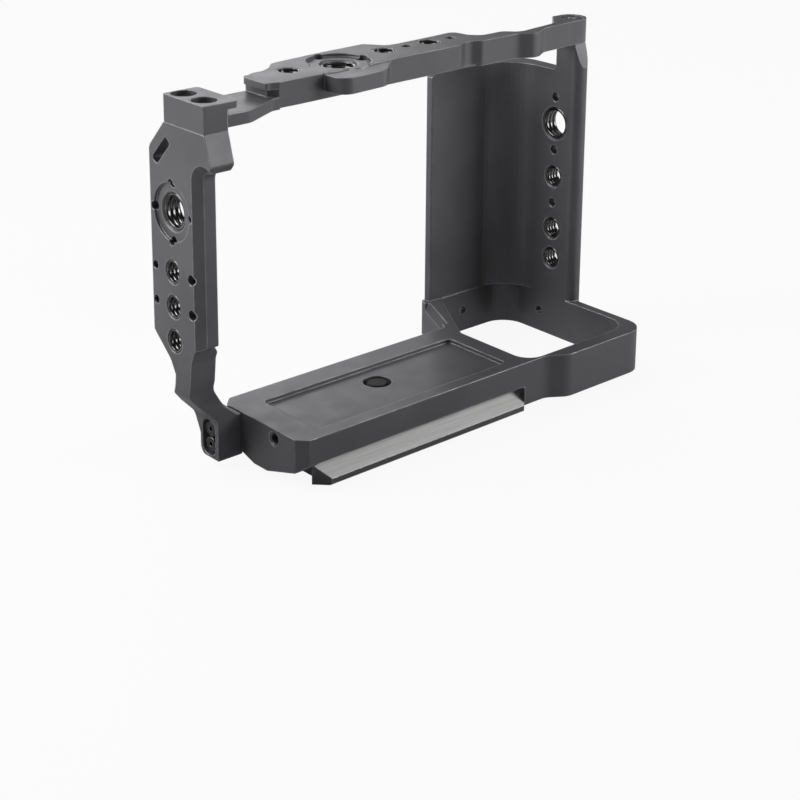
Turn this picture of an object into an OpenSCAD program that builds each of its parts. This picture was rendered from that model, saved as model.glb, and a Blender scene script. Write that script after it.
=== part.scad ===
// Camera cage: a machined base with a deep grip ring and a curved grip wall,
// a perforated top bar with a cold shoe, and a left side plate, screwed together.
// Bench frame: +X along the width, +Y away from the operator's near edge, +Z up.

/* [Overall] */
// Width between the outer faces of the side plate and of the grip wall
cage_w = 156.9; // [150:0.1:170]
// Height from the underside of the dovetail rail to the top of the bar
cage_h = 109.6; // [104:0.1:122]

/* [Base] */
// Depth of the base plate, near face to far face
base_d = 37; // [36:0.5:40]
// Thickness of the base plate and of its grip ring
base_t = 13.8; // [13.2:0.1:16]
// Depth of the shallow seat milled in the top of the base
seat_depth = 1.3; // [0.8:0.1:2]
// Far outer face of the grip wall, measured from the near face of the base
grip_far = 59.3; // [57:0.1:66]
// How far the grip ring stands out past the near face of the base
ring_step = 4; // [2:0.1:6]
// Wall of the grip ring beside its opening
ring_rim = 3.1; // [2.6:0.1:3.4]

/* [Dovetail rail] */
// Width of the rail across its outer edges
rail_w = 38; // [37.5:0.1:38.5]
// How far the rail stands below the base
rail_drop = 1.7; // [1.5:0.1:3]
// Height of the upright edge of the rail
rail_edge = 2; // [1.8:0.1:3]

/* [Grip wall] */
// Thickness of the side panel that holds the threaded holes
wall_t = 5; // [4.8:0.1:6]
// Thickness of the wall on its far side
far_t = 2.8; // [2.4:0.1:3.4]
// Inner radius of the big corner
wall_bend = 13; // [10:0.5:16]
// Free height between the top of the wall and the bar
neck_h = 9.7; // [8:0.1:12]

/* [Side plate] */
// Thickness of the left side plate
plate_t = 6.1; // [5.8:0.1:7.4]
// Thickness of its head under the block
head_t = 7.7; // [7.6:0.1:8.6]
// Distance of the threaded column from the near face of the base
column_y = 31.1; // [30.8:0.1:31.4]
// Width of the plate across its two long edges
plate_w = 21.6; // [21.6:0.1:23]

/* [Top bar] */
// Thickness of the bar
bar_t = 7.7; // [7.2:0.1:9]
// Width of the cold shoe between the side walls of its slot
shoe_w = 18.7; // [18.6:0.05:18.9]
// Opening between the lips of the cold shoe
shoe_open = 15.8; // [13:0.1:16.4]
// Height of the slot under the lips
shoe_h = 2.3; // [2.1:0.1:2.6]
// Thickness of the lips
lip_t = 2; // [1.8:0.1:2.2]

/* [Threads] */
// Inside radius of the 3/8 inch wire insert
big_thread_r = 4.2; // [4:0.05:4.4]
// Outside radius of the 3/8 inch wire insert
big_insert_r = 5.15; // [5:0.05:5.3]
// Inside radius of the 1/4 inch wire insert
small_thread_r = 2.65; // [2.5:0.05:2.8]
// Outside radius of the 1/4 inch wire insert
small_insert_r = 3.35; // [3.3:0.05:3.5]
// Distance from a threaded hole to its locating holes
pin_pitch = 8.8; // [8.6:0.1:8.9]
// Radius of the locating holes
pin_r = 1.5; // [1.4:0.05:1.6]

/* [Camera screw] */
// Radius of the head of the camera screw
cam_head_r = 6.5; // [6:0.1:7]
// Outer radius of the 1/4 inch camera thread
cam_thread_r = 3.15; // [3.05:0.05:3.2]
// Length of the threaded tip
cam_tip = 3.6; // [3.2:0.1:3.8]
// How far the screw can be pushed up
cam_lift = 5; // [4.6:0.1:5.2]

/* [Hidden] */

$fn = 64;
// Overrun of every cut, clearance of a seated insert or screw, and of a screw's through hole
over = 1;
fit = 0.05;
screw_fit = 0.2;

// Heights in the bench frame
base_bot = rail_drop;
base_top = base_bot + base_t;
bar_top = cage_h;
bar_bot = bar_top - bar_t;
frame_h = bar_bot - base_bot;
wall_top = bar_bot - neck_h;
seat_z = base_top - seat_depth;

// Rows of threaded holes, as shares of the height between base and bar
big_share = 0.7545;
left_shares = [0.5865, 0.4865, 0.388];
wall_big_share = 0.7255;
wall_shares = [0.5475, 0.3705, 0.2685];
big_z = base_bot + big_share * frame_h;
left_hole_z = [for (s = left_shares) base_bot + s * frame_h];
wall_big_z = base_bot + wall_big_share * frame_h;
wall_hole_z = [for (s = wall_shares) base_bot + s * frame_h];
big_rim = 0.5;
small_rim = 0.1;
side_rim = 0.25;
plug_len = 4.8;
bar_plug_len = 6;

// Foot of the side plate and the base end that it is screwed to
foot_x = 10.7;
foot_t = 8.3;
foot_rise = 0.8;
arm_y = 27;
foot_d = 8.3;
base_x = foot_x + foot_t;

// Grip ring and wall in plan
wall_in = cage_w - wall_t;
wall_y = 26;
wall_run = 39.7;
wall_left = cage_w - wall_run;
far_in = grip_far - far_t;
ring_run = 50.4;
ring_left = cage_w - ring_run;
ring_right = wall_in;
ring_near = 0.7;
ring_far = grip_far - ring_rim;
ring_out = ring_right + 3;
wall_round = 1.6;
wall_round_in = 3;
wall_outer_bend = 10;
wall_col = 35.7;

// Block and cold shoe
block_y = 15.2;
block_d = 18.4;
block_r = 0.5;
shoe_wall = 2.1;
shoe_x = head_t + shoe_wall;
shoe_end = shoe_x + shoe_w;
shoe_mid = shoe_x + shoe_w / 2;
floor_z = bar_top - lip_t - shoe_h;
block_screw_x = 4.25;
block_screw_y = [block_y + 0.3 * block_d, block_y + 0.8 * block_d];
cap_r = 3.5;
cap_h = 4;
cap_sink = 5.2;
cap_seat = bar_top - cap_sink;
cap_shank = 2;
cap_len = 12;

// Screwed end of the bar
end_x = cage_w - wall_t / 2;
end_y = 32.2;
end_r = 4.7;
end_cap_r = 2.75;
end_cap_h = 2;
end_sink = 2.3;
end_seat = bar_top - end_sink;
end_shank = 1.5;
end_len = 12;
end_seat_r = end_cap_r + 0.7;

// Full section of the bar: its length, its reach, and the holes in it
lead_in = 2.7;
body_x = shoe_end + lead_in;
run = end_x - body_x;
reach = 29.7;
arri_share = 0.228;
arri_x = body_x + arri_share * run;
arri_y = block_y + 0.96 * block_d;
arri_r = 9.3;
arri_deep = 0.9;
arri_left_r = 8.2;
left_pitch = pin_pitch - 0.7;
left_pin_r = pin_r - 0.25;
near_pitch = pin_pitch - 0.3;
arri_left_deep = 0.8;
notch_r = 1.6;
boss_t = 4.2;
boss_drop = 0.4;
row_gap = 18.6;
first_share = 0.082;
row_x = arri_x + row_gap;
row_y = block_y + 1.065 * block_d;
first_y = block_y + 0.96 * block_d;
first_x = body_x + first_share * run;
bar_holes = [[first_x, first_y], [row_x, row_y], [row_x + 2 * pin_pitch, row_y]];
bar_pins = [[row_x + pin_pitch, row_y], [row_x + 3 * pin_pitch, row_y]];
wave_gap = 6.2;
wave_x = row_x + 3 * pin_pitch + wave_gap;
flat_run = wave_x - body_x;
wave_run = end_x - wave_x;

// Camera screw and its stepped hole
cam_x = 63.7;
cam_y = 20.6;
cam_hole_r = 4.3;
cam_web = 1.4;
cam_head_h = 3;
cam_low = 0.4;
cam_neck_r = 2.3;
cam_web_r = 2.6;
cam_bore_r = cam_head_r + 1;
cam_slot = 1.2;
washer_t = 0.7;
washer_r = 5.6;
cam_neck = cam_web + cam_lift + washer_t;
cam_web_top = cam_low + cam_head_h + cam_neck;
cam_end = cam_head_h + cam_neck + cam_tip;

// Tapped hole in the left end of the base, and two tie holes through the ring
end_thread_y = 12.3;
end_thread_z = base_top - 3;
end_thread_r = 1.65;
end_thread_len = 6.5;
tie_r = 1.4;
tie_z = base_bot + 7.3;
tie_in = 14.8;
tie_x = wall_left + tie_in;
tie_y = wall_col + 4.5;

// Two small screws of the foot
foot_screw_y = arm_y + 4.3;
foot_screw_z = base_bot + foot_rise + 4;
foot_screw_pitch = 4.6;
foot_screws_z = [foot_screw_z, foot_screw_z + foot_screw_pitch];
foot_head_r = 2.1;
foot_head_h = 2;
foot_shank = 1;
foot_seat = foot_x + 2.6;
foot_len = 12;
pocket_half = 3.05;
pocket_r = 2.6;

// The whole part stands on the middle of its own footprint
span_x = end_x + end_r;
span_y = [-ring_step, grip_far];
module place() translate([-span_x / 2, -(span_y[0] + span_y[1]) / 2, 0]) children();

// Outline with a round at each corner, from points of [x, y, radius]
function unit(v) = v / norm(v);
function corner(a, b, c, r, n) =
    let (u = unit([a[0] - b[0], a[1] - b[1]]), w = unit([c[0] - b[0], c[1] - b[1]]),
        half = acos(max(-1, min(1, u * w))) / 2,
        mid = [b[0], b[1]] + unit(u + w) * r / sin(half),
        from = [b[0], b[1]] + u * r / tan(half) - mid,
        to = [b[0], b[1]] + w * r / tan(half) - mid,
        a0 = atan2(from[1], from[0]),
        turn = atan2(from[0] * to[1] - from[1] * to[0], from * to))
    [for (i = [0:n]) mid + r * [cos(a0 + turn * i / n), sin(a0 + turn * i / n)]];
function soft(p, n = 6) = [for (i = [0:len(p) - 1])
    let (a = p[(i + len(p) - 1) % len(p)], b = p[i], c = p[(i + 1) % len(p)])
    each (b[2] > 0 ? corner(a, b, c, b[2], n) : [[b[0], b[1]]])];
// Points given as shares of a width, a depth and a radius
function sized(shares, from, size, r) =
    [for (s = shares) [from[0] + s[0] * size[0], from[1] + s[1] * size[1], s[2] * r]];

// Prism of an outline in the X-Y, Y-Z or X-Z plane
module slab(p, z0, z1, n = 6) translate([0, 0, z0]) linear_extrude(z1 - z0) polygon(soft(p, n));
module side(p, x0, x1, n = 6)
    translate([x0, 0, 0]) rotate([90, 0, 90]) linear_extrude(x1 - x0) polygon(soft(p, n));
module front(p, y0, y1, n = 6)
    translate([0, y1, 0]) rotate([90, 0, 0]) linear_extrude(y1 - y0) polygon(soft(p, n));
module block(low, high) translate(low) cube(high - low);

// Round tools along X, Y and Z
module along_x(x0, x1, y, z, r) translate([x0, y, z]) rotate([0, 90, 0]) cylinder(h = x1 - x0, r = r);
module along_y(y0, y1, x, z, r) translate([x, y1, z]) rotate([90, 0, 0]) cylinder(h = y1 - y0, r = r);
module along_z(z0, z1, x, y, r) translate([x, y, z0]) cylinder(h = z1 - z0, r = r);

// Seat of a wire insert seen from +Z at its mouth, with a chamfered rim
module insert_seat(r, deep, rim) {
    translate([0, 0, -deep]) cylinder(h = deep + over, r = r + fit);
    translate([0, 0, -rim]) cylinder(h = rim + fit, r1 = r, r2 = r + rim + fit);
}
module wire_insert(r_out, r_in, length) difference() {
    cylinder(h = length, r = r_out);
    translate([0, 0, -over]) cylinder(h = length + 2 * over, r = r_in);
}
module cap_screw(r_head, h_head, r_shank, length) difference() {
    union() {
        cylinder(h = h_head, r = r_head);
        translate([0, 0, -length]) cylinder(h = length + h_head / 2, r = r_shank);
    }
    translate([0, 0, h_head / 2]) cylinder(h = h_head, r = 0.85 * r_shank, $fn = 6);
}

// Base plate with grip ring, dovetail rail and grip wall, milled from one billet
end_cut = 3;
edge_r = 0.6;
step_start = 7.2;
step_run = 5.9;
step_r = 6;
ring_corner = 7;
wall_join = 1;
gusset_near = [ring_left - 0.6, base_d];
gusset_far = [wall_left - 0.9, grip_far];
base_plan = [[base_x, end_cut, edge_r], [base_x + end_cut, 0, edge_r], [ring_left + step_start, 0, step_r],
    [ring_left + step_start + step_run, -ring_step, step_r], [ring_out, -ring_step, ring_corner],
    [ring_out, wall_y - wall_join, 0], [cage_w, wall_y + wall_join, 0], [cage_w, grip_far, wall_outer_bend],
    [gusset_far[0], gusset_far[1], edge_r], [gusset_near[0], gusset_near[1], 2 * edge_r],
    [base_x + end_cut, base_d, edge_r], [base_x, base_d - end_cut, edge_r]];
ring_r = 8;
ring_near_r = 6;
ring_small_r = 2.5;
ring_slant = [4.8, 26];
ring_plan = [[ring_left, ring_near, ring_near_r], [ring_right, ring_near, ring_r], [ring_right, ring_far, ring_r],
    [wall_left + ring_slant[0], ring_far, ring_small_r], [ring_left, ring_far - ring_slant[1], ring_small_r]];
seat_rim = 9;
seat_left = base_x + seat_rim;
seat_right = ring_left - 5.9;
seat_near = 4.2;
seat_back = 7.8;
seat_far = base_d - seat_back;
seat_r = 1.6;
seat_plan = [[seat_left, seat_near, seat_r], [seat_right, seat_near, seat_r], [seat_right, seat_far, seat_r],
    [seat_left, seat_far, seat_r]];
wall_plan = [[wall_left, far_in, edge_r], [wall_in, far_in, wall_bend], [wall_in, wall_y, wall_round_in],
    [cage_w, wall_y, wall_round], [cage_w, grip_far, wall_outer_bend], [wall_left, grip_far, edge_r]];
rail_left = base_x + 6.3;
rail_right = ring_left + 1.7;
rail_cut = 4;
rail_notch = 3.3;
rail_chamfer = 0.4;
rise_h = 6.1;
rail_out = (rail_w - base_d) / 2;
rail_far = base_d + rail_out;
flank_top = base_bot + rise_h;
flank = flank_top - rail_edge;
rail_stop = rail_right - rail_cut;
rail_plan = [[rail_left, rail_cut - rail_out, 0], [rail_left + rail_cut, -rail_out, 0],
    [rail_stop, -rail_out, 0], [rail_stop + flank, flank - rail_out, 0],
    [rail_stop + flank, rail_far - flank, 0], [rail_stop, rail_far, 0],
    [rail_left + rail_cut, rail_far, 0], [rail_left, rail_far - rail_cut, 0],
    [rail_left + rail_notch, rail_far - rail_cut - rail_notch, 0],
    [rail_left + rail_notch, rail_cut + rail_notch - rail_out, 0]];
rail_side = [[-rail_out + rail_chamfer, 0, 0], [-rail_out, rail_chamfer, 0], [-rail_out, rail_edge, 0],
    [flank - rail_out, flank_top, 0], [rail_far - flank, flank_top, 0], [rail_far, rail_edge, 0],
    [rail_far, rail_chamfer, 0], [rail_far - rail_chamfer, 0, 0]];

// Groove beside a flank of the rail, up to the slanted end of the rail
module groove(y, way) slab([[rail_left, y - way * over, 0], [rail_stop + rail_out - over - fit, y - way * over, 0],
    [rail_stop + flank - fit, y + way * (flank - rail_out), 0], [rail_left, y + way * (flank - rail_out), 0]],
    -over, flank_top);

// The underside rises towards both long faces, beside the rail's flanks
rise_run = 15.5;
rise_shares = [[-0.1, 1.1], [0, 1], [0.19, 0.62], [1, 0], [1, -0.2], [-0.1, -0.2]];
module rise(y, way) intersection() {
    side([for (s = rise_shares) [y + way * s[0] * rise_run, base_bot + s[1] * rise_h, 0]],
        base_x - over, rail_right + over);
    slab([[base_x - over, y - way * rise_run / 2, 0], [rail_right - rail_cut, y - way * rise_run / 2, 0],
        [rail_right - rail_cut, y - way * rail_out, 0], [rail_right, y + way * (rail_cut - rail_out), 0],
        [rail_right, y + way * (rise_run + over), 0], [base_x - over, y + way * (rise_run + over), 0]],
        -over, base_top);
}
neck_near = end_y - 4;
neck_far = end_y + 3.65;
neck_foot = 1.8;
neck_foot_r = 1.5;
module neck_shape() side([[wall_y - over, wall_top - over, 0], [wall_y - over, wall_top + neck_foot, 0],
    [wall_y, wall_top + neck_foot, 0], [neck_near, bar_bot, 0], [neck_far, bar_bot, 0],
    [neck_far, wall_top, neck_foot_r], [neck_far + neck_h, wall_top, 0], [neck_far + neck_h, wall_top - over, 0]],
    wall_in - over, cage_w + over);
wall_cut = 2.2;
module wall_solid() {
    difference() {
        slab(wall_plan, base_top, wall_top, 12);
        front([[wall_left - over, wall_top - wall_cut, 0], [wall_left + wall_cut, wall_top + over, 0],
            [wall_left - over, wall_top + over, 0]], far_in - over, grip_far + over);
    }
    intersection() {
        slab(wall_plan, wall_top - fit, bar_bot, 12);
        neck_shape();
    }
}
rim_cut = 2.4;
rim_w = 1.8;
gusset = gusset_far - gusset_near;
module gusset_cut() translate([gusset_near[0], gusset_near[1], base_top])
    rotate([0, 0, atan2(gusset[1], gusset[0])])
        side([[-rim_w, 0, 0], [-rim_w, over, 0], [over, over, 0], [over, -rim_cut * (1 + over / rim_w), 0]],
            rim_cut, 0.87 * norm(gusset));
toe = 3;

module base_and_grip_wall() color("dimgray") place() difference() {
    union() {
        difference() {
            slab(base_plan, base_bot, base_top);
            rise(0, 1);
            rise(base_d, -1);
            groove(0, 1);
            groove(base_d, -1);
            front([[wall_left - 2 * toe, base_bot - over, 0], [wall_left + toe, base_bot - over, 0],
                [wall_left - 2 * toe, base_bot + 2 * toe, 0]], far_in - toe, grip_far + over);
        }
        intersection() {
            side(rail_side, rail_left - over, rail_right + over);
            slab(rail_plan, 0, flank_top + over);
        }
        wall_solid();
    }
    slab(ring_plan, -over, base_top + fit, 8);
    slab(seat_plan, seat_z, base_top + over);
    gusset_cut();
    // Stepped hole of the camera screw
    along_z(-over, cam_web_top - cam_web, cam_x, cam_y, cam_bore_r);
    along_z(-over, base_top, cam_x, cam_y, cam_web_r);
    along_z(cam_web_top, base_top, cam_x, cam_y, cam_hole_r);
    // Threaded holes of the wall, with their locating holes
    translate([wall_in, wall_col, wall_big_z]) rotate([0, -90, 0])
        insert_seat(big_insert_r, wall_t + over, big_rim);
    for (z = wall_hole_z) translate([wall_in, wall_col, z]) rotate([0, -90, 0])
        insert_seat(small_insert_r, wall_t + over, big_rim);
    for (z = [wall_big_z + pin_pitch, wall_big_z - pin_pitch, (wall_hole_z[0] + wall_hole_z[1]) / 2])
        along_x(wall_in - over, cage_w + over, wall_col, z, pin_r);
    // Screw holes: bar end, foot, base end and the two through the ring
    along_z(end_seat - end_len - over, bar_bot + over, end_x, end_y, end_shank + fit);
    for (z = foot_screws_z)
        along_x(base_x - over, foot_seat + foot_len + over, foot_screw_y, z, foot_shank + fit);
    along_x(base_x - over, base_x + end_thread_len, end_thread_y, end_thread_z, end_thread_r);
    translate([base_x, end_thread_y, end_thread_z]) rotate([0, 90, 0])
        cylinder(h = big_rim, r1 = end_thread_r + big_rim, r2 = end_thread_r);
    along_y(ring_far - over, grip_far + over, tie_x, tie_z, tie_r);
    along_x(ring_right - over, cage_w + over, tie_y, tie_z, tie_r);
}

// Left side plate with its head, arm and foot; outlines as shares of its width and of the frame's height
plate_near = column_y - 0.551 * plate_w;
plate_far = plate_near + plate_w;
plate_shares = [[0.662, 1, 0], [0.981, 0.924, 0.4], [1, 0.914, 0], [1, 0.396, 0.3], [0.653, 0.33, 1.2],
    [0.546, 0.29, 0], [0.28, 0.29, 0], [0.2, 0.345, 0.8], [0.115, 0.385, 0.6], [0, 0.394, 0.25], [0, 0.892, 0.9],
    [-0.222, 0.895, 0.35], [-0.3, 0.915, 0.35], [-0.185, 1, 0]];
head_shares = [[0.662, 1, 0], [0.662, 0.91, 0.6], [0.25, 0.88, 0.6], [0, 0.884, 0.6], [-0.222, 0.895, 0.35],
    [-0.3, 0.915, 0.35], [-0.185, 1, 0]];
slot_shares = [[0.63, 0.962, 1], [0.537, 0.943, 1], [0.833, 0.875, 1], [0.944, 0.891, 1]];
round_r = 3.4;
slot_r = 0.8;
plate_from = [plate_near, base_bot];
plate_size = [plate_w, frame_h];
plate_side = sized(plate_shares, plate_from, plate_size, round_r);
head_side = sized(head_shares, plate_from, plate_size, round_r);
strap_slot = sized(slot_shares, plate_from, plate_size, slot_r);
edge_bevel = 2.35;
bevel_low = base_bot + 0.384 * frame_h;
fillet_r = 0.9 * round_r;
fillet_z = base_bot + 0.8925 * frame_h - fillet_r;

// Arm and foot, as shares of the foot's distance from the plate's face and of the arm's height
arm_z = base_bot + 0.291 * frame_h;
foot_bot = base_bot + foot_rise;
foot_top = base_top - 0.3;
arm_h = arm_z - foot_top;
arm_shares = [[0, 1.83, 0], [0, 0.65, 1.5], [1, -0.04, 0.9]];
arm_in_shares = [[1.64, 0, 0.4], [1.26, 0.217, 1.3], [0.766, 0.69, 1.5], [0.766, 1.45, 0.5], [0.57, 1.64, 0.3],
    [0.57, 1.83, 0]];
arm_far_shares = [[1, -0.4, 0.6], [1.33, -0.05, 0.9], [1.23, 0.28, 0.9], [0.54, 0.74, 1.2], [0.48, 1.01, 0.8],
    [0.76, 1.25, 0.6], [0.76, 1.83, 0]];
arm_near_shares = [[-0.48, 1.83, 0], [-0.61, 1.58, 0.3], [-0.41, 1.325, 0.6], [-0.325, 0.88, 1.5], [0, 0.37, 1.5]];
arm_size = [foot_x, arm_h];
arm_front = concat(sized(arm_shares, [0, foot_top], arm_size, round_r),
    [[foot_x, foot_bot, edge_r], [base_x, foot_bot, 0], [base_x, foot_top, edge_r]],
    sized(arm_in_shares, [0, foot_top], arm_size, round_r));
arm_side = concat([[arm_y, foot_bot, edge_r], [arm_y + foot_d, foot_bot, toe]],
    sized(arm_far_shares, [arm_y, foot_top], [foot_d, arm_h], round_r),
    sized(arm_near_shares, [arm_y, foot_top], [foot_d, arm_h], round_r));
foot_pocket = [[foot_screw_y - pocket_half, foot_screw_z - pocket_half, pocket_r],
    [foot_screw_y + pocket_half, foot_screw_z - pocket_half, pocket_r],
    [foot_screw_y + pocket_half, foot_screws_z[1] + pocket_half, pocket_r],
    [foot_screw_y - pocket_half, foot_screws_z[1] + pocket_half, pocket_r]];

module left_side_plate() color("slategray") place() difference() {
    union() {
        side(plate_side, 0, plate_t);
        side(head_side, 0, head_t);
        intersection() {
            front(arm_front, arm_y - foot_d, arm_y + 2 * foot_d);
            side(arm_side, -over, base_x + over);
        }
    }
    // Bevel along the near outer edge
    slab([[-over, plate_near - over, 0], [edge_bevel + over, plate_near - over, 0],
        [-over, plate_near + edge_bevel + over, 0]], bevel_low, fillet_z);
    translate([-over, plate_near - fillet_r, fillet_z]) rotate([0, 90, 0])
        cylinder(h = edge_bevel + over, r1 = fillet_r + edge_bevel + over, r2 = fillet_r);
    side(strap_slot, -over, head_t + over, 3);
    // Round recess and threaded holes, with their locating holes
    along_x(-over, arri_left_deep, column_y, big_z, arri_left_r);
    translate([arri_left_deep, column_y, big_z]) rotate([0, -90, 0])
        insert_seat(big_insert_r, plate_t + over, big_rim);
    for (a = [0:90:270]) along_x(-over, plate_t + over, column_y + left_pitch * cos(a),
        big_z + left_pitch * sin(a), left_pin_r);
    for (z = left_hole_z) translate([0, column_y, z]) rotate([0, -90, 0])
        insert_seat(small_insert_r, plate_t + over, side_rim);
    for (z = [left_hole_z[0], left_hole_z[1]]) {
        along_x(-over, plate_t + over, column_y + left_pitch, z, left_pin_r);
        along_x(-over, plate_t + over, column_y - near_pitch, z, pin_r);
    }
    // Screw holes of the head and of the foot, with the pocket for the small heads
    for (y = block_screw_y)
        along_z(cap_seat - cap_len - over, bar_bot + over, block_screw_x, y, cap_shank + fit);
    for (z = foot_screws_z) along_x(foot_x - over, base_x + over, foot_screw_y, z, foot_shank + fit);
    side(foot_pocket, arm_h / 3, foot_seat);
}

// Top bar: left block, cold shoe, threaded boss and screwed end
// Near edge beside the shoe, then along the full section, then back along the far edge
shoe_near_shares = [[0.497, 0.141, 1], [1.112, 0.457, 0.7]];
near_shares = [[0.109, 0.285, 0.5], [0.514, 0.323, 0], [0.867, 0.35, 0.5], [0.912, 0.411, 0.5],
    [0.943, 0.411, 0.5], [0.98, 0.35, 0.35]];
near_wave_shares = [[0.307, 0.36, 0.85], [0.413, 0.269, 0.5], [0.467, 0.276, 0.5], [0.582, 0.377, 0.85]];
far_wave_shares = [[0.75, 0.485, 0.5], [0.512, 0.438, 0.65], [0.413, 0.418, 0.65], [0.349, 0.434, 0.5],
    [0.281, 0.545, 0.5], [0.079, 0.539, 0.65], [0.015, 0.65, 0.5]];
far_shares = [[1, 0.848, 0.4], [0.881, 0.822, 1], [0.696, 0.795, 0.85], [0.648, 0.808, 0.5], [0.595, 1, 0.25],
    [0.413, 0.983, 0.65], [0.186, 0.933, 0.5], [0.141, 0.909, 0.35], [0.095, 0.785, 0.35], [0.053, 0.727, 0.35]];
shoe_far_shares = [[1.27, 1.165, 0.3], [1.17, 1.109, 0.3], [0.2, 1.109, 0.3], [0.12, 1, 0]];
bar_round = 6;
wave_base = 2.75;
wave_round = min(bar_round, wave_base * pow(wave_run / reach, 2));
far_corner = 3.9;
bar_from = [body_x, block_y];
bar_size = [flat_run, reach];
wave_from = [wave_x, block_y];
wave_size = [wave_run, reach];
shoe_from = [head_t, block_y];
shoe_size = [shoe_w, block_d];
near_edge = concat(sized(near_shares, bar_from, bar_size, bar_round),
    sized(near_wave_shares, wave_from, wave_size, wave_round),
    [[end_x - end_r, end_y - end_r, 0], [end_x, end_y - end_r, 0], [end_x, end_y + end_r, 0],
        [end_x - far_corner, end_y + end_r, edge_r]],
    sized(far_wave_shares, wave_from, wave_size, wave_round), sized(far_shares, bar_from, bar_size, bar_round));
floor_plan = concat([[0, block_y, block_r], [head_t, block_y, 0], [head_t, block_y + 0.141 * block_d, 0]],
    sized(shoe_near_shares, shoe_from, shoe_size, bar_round), near_edge,
    sized(shoe_far_shares, shoe_from, shoe_size, bar_round), [[0, block_y + block_d, block_r]]);
lip_left = shoe_mid - shoe_open / 2;
lip_right = shoe_mid + shoe_open / 2;
lip_near = block_y + 0.5 * block_d;
lip_far = block_y + 1.109 * block_d;
tip_r = 1.2;
upper_plan = concat([[lip_right, lip_near, tip_r / 2], [shoe_end, lip_near, 0], [body_x, block_y + 0.457 * block_d, 0]],
    near_edge, sized([shoe_far_shares[0], shoe_far_shares[1]], shoe_from, shoe_size, bar_round),
    [[lip_right, lip_far, 1.5 * tip_r]]);
boss_shares = [[-1.4, -0.33, 0], [-1.4, -1.94, 0.45], [0.545, -1.77, 0.68], [1.7, -0.65, 0], [1.7, -0.33, 0]];
boss_plan = sized(boss_shares, [arri_x, arri_y], [pin_pitch, pin_pitch], pin_pitch);
shoe_far = block_y + 1.6 * block_d;
slot_end = block_y + 0.6 * block_d;
relief = 0.4;

module top_bar() color("gray") place() difference() {
    union() {
        slab(floor_plan, bar_bot, floor_z);
        // Body of the bar and its lower boss, with the round recess, and the slot with its lead-in
        difference() {
            union() {
                slab(upper_plan, floor_z - fit, bar_top);
                slab(boss_plan, bar_top - arri_deep - boss_t, bar_top - boss_drop, 10);
            }
            along_z(bar_top - arri_deep, bar_top + over, arri_x, arri_y, arri_r);
            block([lip_right - over, block_y, floor_z - over], [shoe_end, shoe_far, floor_z + shoe_h]);
            slab([[shoe_end - over, slot_end + over, 0], [shoe_end - over, block_y, 0], [body_x + over, block_y, 0],
                [body_x, slot_end - lead_in, 0], [shoe_end, slot_end, 0]], floor_z - over, floor_z + shoe_h);
        }
        // Left block with its lip
        slab([[0, block_y, block_r], [head_t, block_y, 0], [head_t, block_y + block_d, 0],
            [0, block_y + block_d, block_r]], floor_z - fit, bar_top);
        slab([[head_t - over, block_y, 0], [lip_left, block_y, tip_r], [lip_left, block_y + block_d, tip_r],
            [head_t - over, block_y + block_d, 0]], bar_top - lip_t, bar_top);
        slab([[head_t - over, block_y + 0.141 * block_d, 0], [shoe_x, block_y + 0.141 * block_d, 0],
            [shoe_x, block_y + block_d, 0], [head_t - over, block_y + block_d, 0]], floor_z - fit, bar_top);
        along_z(bar_bot, bar_top, end_x, end_y, end_r);
    }
    // Shallow relief under the middle
    block([body_x, block_y - reach, bar_bot - over], [wave_x - wave_gap / 2, block_y + 2 * reach, bar_bot + relief]);
    // Threaded holes, with their locating holes
    translate([arri_x, arri_y, bar_top - arri_deep]) insert_seat(big_insert_r, bar_t + over, big_rim);
    for (a = [0:90:270]) along_z(bar_bot - over, bar_top + over, arri_x + pin_pitch * cos(a),
        arri_y + pin_pitch * sin(a), notch_r);
    for (p = bar_holes) translate([p[0], p[1], bar_top]) insert_seat(small_insert_r, bar_t + over, small_rim);
    for (p = bar_pins) along_z(bar_bot - over, bar_top + over, p[0], p[1], notch_r);
    // Counterbored screw holes of the block and of the end
    for (y = block_screw_y) {
        along_z(cap_seat, bar_top + over, block_screw_x, y, cap_r + fit);
        along_z(bar_bot - over, bar_top, block_screw_x, y, cap_shank + screw_fit);
    }
    along_z(end_seat, bar_top + over, end_x, end_y, end_seat_r);
    along_z(bar_bot - over, bar_top, end_x, end_y, end_shank + screw_fit);
}

module block_screws() color("black") place() for (y = block_screw_y)
    translate([block_screw_x, y, cap_seat]) cap_screw(cap_r - fit, cap_h, cap_shank, cap_len);
module bar_end_screw() color("silver") place()
    translate([end_x, end_y, end_seat]) cap_screw(end_cap_r, end_cap_h, end_shank, end_len);
module foot_screws() color("black") place() for (z = foot_screws_z)
    translate([foot_seat, foot_screw_y, z]) rotate([0, -90, 0])
        cap_screw(foot_head_r, foot_head_h, foot_shank, foot_len);

// Captive camera screw with a relieved neck, a coin slot and a hexagon socket, and its washer
module camera_screw() color("silver") place() translate([cam_x, cam_y, cam_low]) difference() {
    union() {
        cylinder(h = cam_head_h, r = cam_head_r);
        cylinder(h = cam_head_h + cam_neck + cam_tip / 2, r = cam_neck_r);
        translate([0, 0, cam_head_h + cam_neck]) cylinder(h = cam_tip - big_rim, r = cam_thread_r);
        translate([0, 0, cam_end - big_rim])
            cylinder(h = big_rim, r1 = cam_thread_r, r2 = cam_thread_r - big_rim);
    }
    translate([0, 0, -over]) cylinder(h = over + 0.6 * cam_head_h, r = cam_neck_r, $fn = 6);
    block([-cam_head_r - over, -cam_slot / 2, -over], [cam_head_r + over, cam_slot / 2, 0.4 * cam_head_h]);
}
module camera_screw_washer() color("ivory") place()
    translate([cam_x, cam_y, cam_low + cam_head_h]) wire_insert(washer_r, cam_neck_r + fit, washer_t);

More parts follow.
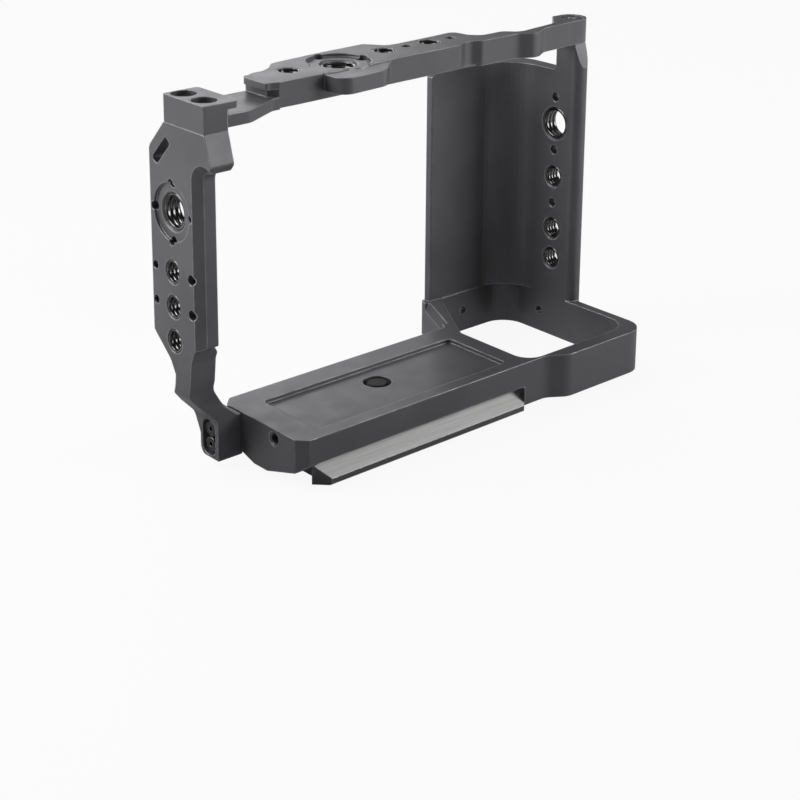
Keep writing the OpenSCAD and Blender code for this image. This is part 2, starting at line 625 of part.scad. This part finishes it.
// Wire thread inserts
big_left_x = arri_left_deep + big_rim;
module insert_38_left() color("silver") place() translate([big_left_x, column_y, big_z])
    rotate([0, 90, 0]) wire_insert(big_insert_r, big_thread_r, plate_t - big_left_x);
module insert_38_top() color("silver") place()
    translate([arri_x, arri_y, bar_top - arri_deep - big_rim - bar_plug_len])
        wire_insert(big_insert_r, big_thread_r, bar_plug_len);
module insert_38_wall() color("silver") place() translate([wall_in + big_rim, wall_col, wall_big_z])
    rotate([0, 90, 0]) wire_insert(big_insert_r, big_thread_r, wall_t - big_rim);
module left_insert(i) color("silver") place() translate([side_rim, column_y, left_hole_z[i]])
    rotate([0, 90, 0]) wire_insert(small_insert_r, small_thread_r, plug_len);
module top_insert(i) color("silver") place()
    translate([bar_holes[i][0], bar_holes[i][1], bar_top - small_rim - bar_plug_len])
        wire_insert(small_insert_r, small_thread_r, bar_plug_len);
module wall_insert(i) color("silver") place() translate([wall_in + big_rim, wall_col, wall_hole_z[i]])
    rotate([0, 90, 0]) wire_insert(small_insert_r, small_thread_r, wall_t - big_rim);
module insert_14_left_1() left_insert(0);
module insert_14_left_2() left_insert(1);
module insert_14_left_3() left_insert(2);
module insert_14_top_1() top_insert(0);
module insert_14_top_2() top_insert(1);
module insert_14_top_3() top_insert(2);
module insert_14_wall_1() wall_insert(0);
module insert_14_wall_2() wall_insert(1);
module insert_14_wall_3() wall_insert(2);

base_and_grip_wall();
top_bar();
left_side_plate();
block_screws();
foot_screws();
bar_end_screw();
camera_screw();
camera_screw_washer();
insert_38_left();
insert_38_top();
insert_38_wall();
insert_14_left_1();
insert_14_left_2();
insert_14_left_3();
insert_14_top_1();
insert_14_top_2();
insert_14_top_3();
insert_14_wall_1();
insert_14_wall_2();
insert_14_wall_3();
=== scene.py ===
import math
import bpy
import bmesh
from mathutils import Matrix, Vector


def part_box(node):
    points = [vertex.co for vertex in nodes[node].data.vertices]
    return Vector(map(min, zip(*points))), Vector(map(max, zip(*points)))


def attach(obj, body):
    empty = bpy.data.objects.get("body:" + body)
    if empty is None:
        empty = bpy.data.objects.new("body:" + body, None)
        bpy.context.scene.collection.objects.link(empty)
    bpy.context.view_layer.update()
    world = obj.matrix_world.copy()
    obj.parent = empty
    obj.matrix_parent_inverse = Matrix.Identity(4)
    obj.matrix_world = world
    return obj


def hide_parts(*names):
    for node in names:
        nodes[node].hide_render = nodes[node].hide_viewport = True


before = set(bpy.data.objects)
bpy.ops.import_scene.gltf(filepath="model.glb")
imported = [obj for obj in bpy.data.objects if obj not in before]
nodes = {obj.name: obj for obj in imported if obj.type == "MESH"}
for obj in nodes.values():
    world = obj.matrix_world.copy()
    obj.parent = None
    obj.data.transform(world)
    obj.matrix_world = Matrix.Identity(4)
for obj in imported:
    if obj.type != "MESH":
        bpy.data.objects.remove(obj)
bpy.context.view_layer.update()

mm = 0.001


class Shader:
    # Node tree of one material or world, with short calls for the nodes used here

    def __init__(self, name, world=False):
        self.material = (bpy.data.worlds if world else bpy.data.materials).new(name)
        self.material.use_nodes = True
        self.tree = self.material.node_tree
        self.surface = self.tree.nodes["Background" if world else "Principled BSDF"]
        self.coords = self.add("ShaderNodeTexCoord").outputs["Generated" if world else "Object"]
        self.geometry = None if world else self.add("ShaderNodeNewGeometry")

    def add(self, kind, **settings):
        node = self.tree.nodes.new(kind)
        for key, value in settings.items():
            setattr(node, key, value)
        return node

    def link(self, source, target):  # a socket is linked, and a constant is set on the target itself
        if hasattr(source, "links"):
            self.tree.links.new(source, target)
        else:
            target.default_value = source

    def noise(self, scale, detail=2.0, vector=None):
        node = self.add("ShaderNodeTexNoise")
        self.link(vector or self.coords, node.inputs["Vector"])
        node.inputs["Scale"].default_value = scale
        node.inputs["Detail"].default_value = detail
        return node.outputs["Fac"]

    def spread(self, value, span, result=(0.0, 1.0)):
        node = self.add("ShaderNodeMapRange")
        self.link(value, node.inputs["Value"])
        for key, number in zip(("From Min", "From Max", "To Min", "To Max"), (*span, *result)):
            node.inputs[key].default_value = number
        return node.outputs["Result"]

    def maths(self, operation, a, b=0.0):
        node = self.add("ShaderNodeMath", operation=operation)
        self.link(a, node.inputs[0])
        self.link(b, node.inputs[1])
        return node.outputs[0]

    def vector(self, operation, a, b=None):
        node = self.add("ShaderNodeVectorMath", operation=operation)
        self.link(a, node.inputs[0])
        if b is not None:
            self.link(b, node.inputs[1])
        return node.outputs["Value" if operation in ("DOT_PRODUCT", "LENGTH") else "Vector"]

    def blend(self, share, a, b):
        node = self.add("ShaderNodeMix", data_type="RGBA")
        self.link(share, node.inputs["Factor"])
        self.link((*a, 1.0) if isinstance(a, tuple) else a, node.inputs["A"])
        self.link((*b, 1.0) if isinstance(b, tuple) else b, node.inputs["B"])
        return node.outputs["Result"]

    def mottled(self, share, base, change):  # a colour that runs from a little darker to a little lighter
        return self.blend(share, tuple(c * (1 - change) for c in base), tuple(c * (1 + change) for c in base))

    def axes(self, vector):
        node = self.add("ShaderNodeSeparateXYZ")
        self.link(vector, node.inputs[0])
        return node.outputs

    def rounded(self, radius):
        node = self.add("ShaderNodeBevel", samples=4)
        node.inputs["Radius"].default_value = radius
        return node.outputs["Normal"]

    def bump(self, height, distance, normal, strength=1.0):
        node = self.add("ShaderNodeBump")
        node.inputs["Strength"].default_value = strength
        node.inputs["Distance"].default_value = distance
        self.link(height, node.inputs["Height"])
        self.link(normal, node.inputs["Normal"])
        return node.outputs["Normal"]


# Looks of the pieces: colours are linear, lengths in metres, and noise scales per metre; the light edge colour of each
# look is a painted highlight
anodised = {"base": (0.145, 0.144, 0.154), "edgeHighlight": (0.75, 0.75, 0.76), "metallic": 0.45, "specular": 0.35,
            "roughness": 0.42, "grain": 2600, "grainDepth": 0.02 * mm, "mottle": 55, "edge": 0.45 * mm}
blackOxide = {"base": (0.05, 0.05, 0.052), "edgeHighlight": (0.5, 0.5, 0.5), "metallic": 0.5, "specular": 0.4,
              "roughness": 0.36, "grain": 1500, "grainDepth": 0.008 * mm, "mottle": 160, "edge": 0.3 * mm}
# Painted shade: the camera screw's black oxide is darkened to near black and made dull, standing for the shade round a
# tip sunk in its hole
screwOxideAndShade = {"base": (0.02, 0.02, 0.021), "edgeHighlight": (0.25, 0.25, 0.25), "metallic": 0.0, "specular": 0.15,
              "roughness": 0.5, "grain": 1500, "grainDepth": 0.004 * mm, "mottle": 200, "edge": 0.1 * mm}
brightSteel = {"base": (0.75, 0.74, 0.72), "edgeHighlight": (0.8, 0.79, 0.77), "metallic": 1.0, "specular": 0.5,
               "roughness": 0.24, "grain": 1800, "grainDepth": 0.004 * mm, "mottle": 200, "edge": 0.1 * mm}
# Painted shade: the wire steel is darkened far below bright steel, standing for the shade inside the threaded holes
wireSteelAndShade = {"base": (0.17, 0.17, 0.17), "edgeHighlight": (0.5, 0.5, 0.5), "metallic": 1.0, "specular": 0.5,
             "roughness": 0.2, "grain": 1400, "grainDepth": 0.003 * mm, "mottle": 300, "edge": 0.06 * mm}
nylon = {"base": (0.66, 0.63, 0.56), "edgeHighlight": (0.74, 0.72, 0.66), "metallic": 0.0, "specular": 0.5,
         "roughness": 0.5, "grain": 900, "grainDepth": 0.006 * mm, "mottle": 120, "edge": 0.08 * mm}
# The edge and highlight patch entries set the painted edge highlight; colour and smudge are the finish's own mottle
wearAndHighlight = {"colour": 0.08, "colourSpan": (0.3, 0.7), "edgeSpan": (0.995, 0.9), "highlightPatchSpan": (0.35, 0.7),
        "highlightPatches": (0.4, 0.9), "highlightPatchScale": 4, "smudgeScale": 2.5, "smudgeSpan": (0.25, 0.75), "smudge": (-0.05, 0.06)}


def finishMaterial(name, look, extra=None):
    # One grained finish: colour and roughness mottled, fine bump, edges rounded, and a patchy painted highlight that
    # lightens the edges
    s = Shader(name)
    soft = s.rounded(look["edge"])
    onEdge = s.spread(s.vector("DOT_PRODUCT", soft, s.geometry.outputs["Normal"]), wearAndHighlight["edgeSpan"])
    patchy = s.spread(s.noise(look["mottle"] * wearAndHighlight["highlightPatchScale"], 3.0), wearAndHighlight["highlightPatchSpan"], wearAndHighlight["highlightPatches"])
    mottle = s.spread(s.noise(look["mottle"], 4.0), wearAndHighlight["colourSpan"])
    # Painted highlight: the edges are blended towards a light colour, in patches
    colour = s.blend(s.maths("MULTIPLY", onEdge, patchy), s.mottled(mottle, look["base"], wearAndHighlight["colour"]), look["edgeHighlight"])
    rough = s.spread(s.noise(look["mottle"] * wearAndHighlight["smudgeScale"], 5.0), wearAndHighlight["smudgeSpan"],
                     [look["roughness"] + change for change in wearAndHighlight["smudge"]])
    normal = s.bump(s.noise(look["grain"]), look["grainDepth"], soft)
    s.surface.inputs["Metallic"].default_value = look["metallic"]
    s.surface.inputs["Specular IOR Level"].default_value = look["specular"]
    if extra:
        colour, rough, normal = extra(s, colour, rough, normal)
    s.link(colour, s.surface.inputs["Base Color"])
    s.link(rough, s.surface.inputs["Roughness"])
    s.link(normal, s.surface.inputs["Normal"])
    return s.material


dovetail = {"base": (0.68, 0.675, 0.67), "change": 0.1, "metallic": 0.35, "roughness": 0.46, "top": 8.2 * mm,
            "slope": (0.35, 0.45), "milling": (60, 2200, 2200), "millingSpan": (0.3, 0.7), "depth": 0.01 * mm}


def bareDovetail(s, colour, rough, normal):
    # The rail's 45 degree flanks are machined bare after anodising: bright, with fine milling marks along X
    lo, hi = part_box("base_and_grip_wall")
    facing = s.axes(s.geometry.outputs["Normal"])
    slope = s.maths("MULTIPLY", s.maths("ABSOLUTE", facing["Y"]), facing["Z"])
    low = s.maths("LESS_THAN", s.axes(s.coords)["Z"], lo[2] + dovetail["top"])
    mask = s.maths("MULTIPLY", s.spread(slope, dovetail["slope"]), low)
    stretch = s.add("ShaderNodeMapping")
    s.link(s.coords, stretch.inputs["Vector"])
    stretch.inputs["Scale"].default_value = dovetail["milling"]
    marks = s.noise(1.0, 3.0, stretch.outputs["Vector"])
    bright = s.mottled(s.spread(marks, dovetail["millingSpan"]), dovetail["base"], dovetail["change"])
    metallic = s.spread(mask, (0, 1), (anodised["metallic"], dovetail["metallic"]))
    s.link(metallic, s.surface.inputs["Metallic"])
    rough = s.maths("ADD", s.maths("MULTIPLY", rough, s.spread(mask, (0, 1), (1, 0))),
                    s.maths("MULTIPLY", mask, dovetail["roughness"]))
    return s.blend(mask, colour, bright), rough, s.bump(s.maths("MULTIPLY", marks, mask), dovetail["depth"], normal)


cameraScrew = {"pitch": 1.27 * mm, "thread": (3.5 * mm, 0.3 * mm), "threadDepth": 1.0 * mm,
               "rings": 0.12 * mm, "ringDepth": 0.002 * mm, "ringStrength": 0.4}


def turned(s, colour, rough, normal):
    # Rings left by turning, and the thread between two distances from the tip of the camera screw
    lo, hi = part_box("camera_screw")
    place = s.axes(s.coords)
    x = s.maths("SUBTRACT", place["X"], (lo[0] + hi[0]) / 2)
    y = s.maths("SUBTRACT", place["Y"], (lo[1] + hi[1]) / 2)
    radius = s.maths("SQRT", s.maths("ADD", s.maths("MULTIPLY", x, x), s.maths("MULTIPLY", y, y)))
    rings = s.maths("SINE", s.maths("MULTIPLY", radius, 2 * math.pi / cameraScrew["rings"]))
    turn = s.maths("DIVIDE", s.maths("ARCTAN2", y, x), 2 * math.pi)
    rise = s.maths("SUBTRACT", s.maths("DIVIDE", place["Z"], cameraScrew["pitch"]), turn)
    thread = s.maths("ABSOLUTE", s.maths("SUBTRACT", s.maths("FRACT", rise), 0.5))
    low, high = [hi[2] - down for down in cameraScrew["thread"]]
    onTip = s.maths("MULTIPLY", s.maths("GREATER_THAN", place["Z"], low), s.maths("LESS_THAN", place["Z"], high))
    normal = s.bump(rings, cameraScrew["ringDepth"], normal, cameraScrew["ringStrength"])
    return colour, rough, s.bump(s.maths("MULTIPLY", thread, onTip), cameraScrew["threadDepth"], normal)


materials = {
    "base_and_grip_wall": finishMaterial("anodisedBase", anodised, bareDovetail),
    "top_bar": finishMaterial("anodisedBar", anodised),
    "left_side_plate": finishMaterial("anodisedPlate", anodised),
    "block_screws": finishMaterial("blackScrews", blackOxide),
    "bar_end_screw": finishMaterial("brightScrew", brightSteel),
    "camera_screw": finishMaterial("cameraScrewOxideAndShade", screwOxideAndShade, turned),
    "camera_screw_washer": finishMaterial("nylonWasher", nylon),
    "insert": finishMaterial("insertWireAndShade", wireSteelAndShade)}
materials["foot_screws"] = materials["block_screws"]
for name, node in nodes.items():
    node.data.materials.clear()
    node.data.materials.append(materials["insert" if name.startswith("insert") else name])
print("materials done")


# Wire thread inserts: a sleeve whose bore carries the coils of the wire, wound at the real pitch
bigInsert = {"pitch": 1.5875 * mm, "bore": 4.2 * mm, "depth": 0.72 * mm}
smallInsert = {"pitch": 1.27 * mm, "bore": 2.65 * mm, "depth": 0.55 * mm}
coil = {"perTurn": 40, "perPitch": 10, "fewest": 8, "flat": 0.22, "skin": 0.1 * mm}


def coilRadius(share, size):  # bore radius at a share of one pitch: a flat crest, then the round gap between coils
    gap = (abs(2 * share - 1) - coil["flat"]) / (1 - coil["flat"])
    return size["bore"] + size["depth"] * (1 - math.sqrt(max(0.0, 1 - gap ** 2)) if gap > 0 else 0.0)


def makeInsert(name, size):
    # The tube's section is spun about its own axis, then the bore is pushed out between the coils
    lo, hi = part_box(name)
    span = [hi[i] - lo[i] for i in range(3)]
    axis = min(range(3), key=lambda i: abs(span[(i + 1) % 3] - span[(i + 2) % 3]))
    across, up = (axis + 1) % 3, (axis + 2) % 3
    length, outer = span[axis], span[across] / 2
    centre = Vector([(lo[i] + hi[i]) / 2 for i in range(3)])
    rows = max(coil["fewest"], round(length / size["pitch"] * coil["perPitch"]))

    mesh = bmesh.new()
    section = [(length * i / rows, size["bore"]) for i in range(rows + 1)] + [(length, outer), (0.0, outer)]
    corners = []
    for z, radius in section:
        point = centre.copy()
        point[axis], point[across] = lo[axis] + z, centre[across] + radius
        corners.append(mesh.verts.new(point))
    sides = [mesh.edges.new(pair) for pair in zip(corners, corners[1:] + corners[:1])]
    spinAxis = [float(i == axis) for i in range(3)]
    bmesh.ops.spin(mesh, geom=corners + sides, cent=centre, axis=spinAxis, angle=2 * math.pi,
                   steps=coil["perTurn"], use_merge=True)
    for corner in mesh.verts:
        z, x, y = corner.co[axis] - lo[axis], corner.co[across] - centre[across], corner.co[up] - centre[up]
        radius = math.hypot(x, y)
        if radius < (size["bore"] + outer) / 2:
            share = (z / size["pitch"] - math.atan2(y, x) / (2 * math.pi)) % 1.0
            wider = min(outer - coil["skin"], coilRadius(share, size)) / radius
            corner.co[across], corner.co[up] = centre[across] + x * wider, centre[up] + y * wider
    bmesh.ops.recalc_face_normals(mesh, faces=mesh.faces)
    for face in mesh.faces:
        face.smooth = True
    data = bpy.data.meshes.new(name + "Coils")
    mesh.to_mesh(data)
    mesh.free()
    data.materials.append(materials["insert"])
    piece = bpy.data.objects.new(name + "Coils", data)
    bpy.context.scene.collection.objects.link(piece)
    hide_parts(name)
    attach(piece, "cage")


for name in sorted(n for n in nodes if n.startswith("insert")):
    makeInsert(name, bigInsert if "_38_" in name else smallInsert)
print("inserts done")


# Floor, light and camera: a white studio, darkest on the side the camera stands on
studio = {"darkSide": (-0.55, -0.83, 0.0), "sideSpan": (0.9, -0.1), "side": (0.3, 1.0), "overheadSpan": (0.1, 0.8),
          "overhead": 1.0, "plain": 0.45}
floorLook = {"half": 6.0, "base": (0.8, 0.8, 0.8, 1), "roughness": 0.9, "shadeSpan": (0.08, 0.28),
             "shade": (0.4, 1.0), "glow": 0.92}
lamps = {"topBox": {"place": (0.0, 0.25, 1.1), "target": (0, 0, 0.05), "size": (1.1, 0.9), "power": 3.5},
         "rightBox": {"place": (0.8, -0.95, 0.5), "target": (0, 0, 0.06), "size": (0.6, 0.6), "power": 7.5},
         "leftBox": {"place": (-0.4, 0.2, 0.35), "target": (-0.08, 0, 0.08), "size": (0.3, 0.3), "power": 1.7},
         "backBox": {"place": (0.5, 1.2, 0.6), "target": (0, 0, 0.06), "size": (0.9, 0.5), "power": 4}}
photoCamera = {"place": (-334.08 * mm, -375.63 * mm, 225.81 * mm), "focal": 1787.4, "axisAcross": 398.5,
               "axisDown": 137.3, "right": (0.75054, -0.66078, 0.00737), "down": (-0.17349, -0.20779, -0.96267),
               "forward": (0.63764, 0.72124, -0.27059), "pixels": 800, "sensor": 36.0, "clip": (0.01, 50)}


def sideLight(s):
    # Brightness round the horizon, from the direction in the node tree's own coordinates
    heading = s.vector("NORMALIZE", s.vector("MULTIPLY", s.coords, (1, 1, 0)))
    return s.spread(s.vector("DOT_PRODUCT", heading, studio["darkSide"]), studio["sideSpan"], studio["side"])


def makeFloor():
    s = Shader("paleFloor")
    s.surface.inputs["Base Color"].default_value = floorLook["base"]
    s.surface.inputs["Roughness"].default_value = floorLook["roughness"]
    rays = s.add("ShaderNodeLightPath").outputs
    shaded = s.spread(s.vector("LENGTH", s.coords), floorLook["shadeSpan"], floorLook["shade"])
    mirrored = s.maths("MULTIPLY", rays["Is Glossy Ray"], s.maths("MULTIPLY", sideLight(s), shaded))
    seen = s.maths("MAXIMUM", rays["Is Camera Ray"], rays["Is Transmission Ray"])
    glow = s.add("ShaderNodeEmission")
    s.link(s.maths("MAXIMUM", seen, mirrored), glow.inputs["Strength"])
    mix = s.add("ShaderNodeMixShader")
    s.link(s.maths("MULTIPLY", s.maths("MAXIMUM", seen, rays["Is Glossy Ray"]), floorLook["glow"]), mix.inputs["Fac"])
    s.link(s.surface.outputs[0], mix.inputs[1])
    s.link(glow.outputs[0], mix.inputs[2])
    s.link(mix.outputs[0], s.tree.nodes["Material Output"].inputs["Surface"])

    mesh = bmesh.new()
    bmesh.ops.create_grid(mesh, x_segments=1, y_segments=1, size=floorLook["half"])
    data = bpy.data.meshes.new("floor")
    mesh.to_mesh(data)
    mesh.free()
    data.materials.append(s.material)
    floor = bpy.data.objects.new("floor", data)
    bpy.context.scene.collection.objects.link(floor)


def makeWorld():
    s = Shader("studio", world=True)
    bpy.context.scene.world = s.material
    rays = s.add("ShaderNodeLightPath").outputs
    level = s.add("ShaderNodeMix", data_type="FLOAT")
    s.link(s.spread(s.axes(s.coords)["Z"], studio["overheadSpan"]), level.inputs["Factor"])
    s.link(sideLight(s), level.inputs["A"])
    level.inputs["B"].default_value = studio["overhead"]
    mirrored = s.maths("MULTIPLY", rays["Is Glossy Ray"], level.outputs["Result"])
    seen = s.maths("MAXIMUM", rays["Is Camera Ray"], rays["Is Transmission Ray"])
    plain = s.maths("MULTIPLY", level.outputs["Result"], studio["plain"])
    s.link(s.maths("MAXIMUM", s.maths("MAXIMUM", seen, mirrored), plain), s.surface.inputs["Strength"])


def makeLamp(name, look):
    lamp = bpy.data.lights.new(name, "AREA")
    lamp.shape = "RECTANGLE"
    lamp.size, lamp.size_y = look["size"]
    lamp.energy = look["power"]
    holder = bpy.data.objects.new(name, lamp)
    bpy.context.scene.collection.objects.link(holder)
    holder.location = look["place"]
    aim = Vector(look["target"]) - Vector(look["place"])
    holder.rotation_euler = aim.to_track_quat("-Z", "Y").to_euler()


def makeCamera(view):
    data = bpy.data.cameras.new("photoCamera")
    data.sensor_width = view["sensor"]
    data.lens = view["focal"] * view["sensor"] / view["pixels"]
    data.shift_x = (view["pixels"] / 2 - view["axisAcross"]) / view["pixels"]
    data.shift_y = (view["axisDown"] - view["pixels"] / 2) / view["pixels"]
    data.clip_start, data.clip_end = view["clip"]
    holder = bpy.data.objects.new("photoCamera", data)
    bpy.context.scene.collection.objects.link(holder)
    turn = Matrix((view["right"], [-v for v in view["down"]], [-v for v in view["forward"]])).transposed()
    holder.matrix_world = Matrix.Translation(view["place"]) @ turn.to_4x4()
    bpy.context.scene.camera = holder


makeFloor()
makeWorld()
for name, look in lamps.items():
    makeLamp(name, look)
makeCamera(photoCamera)
bpy.context.scene.view_settings.view_transform = "Standard"
print("stage done")
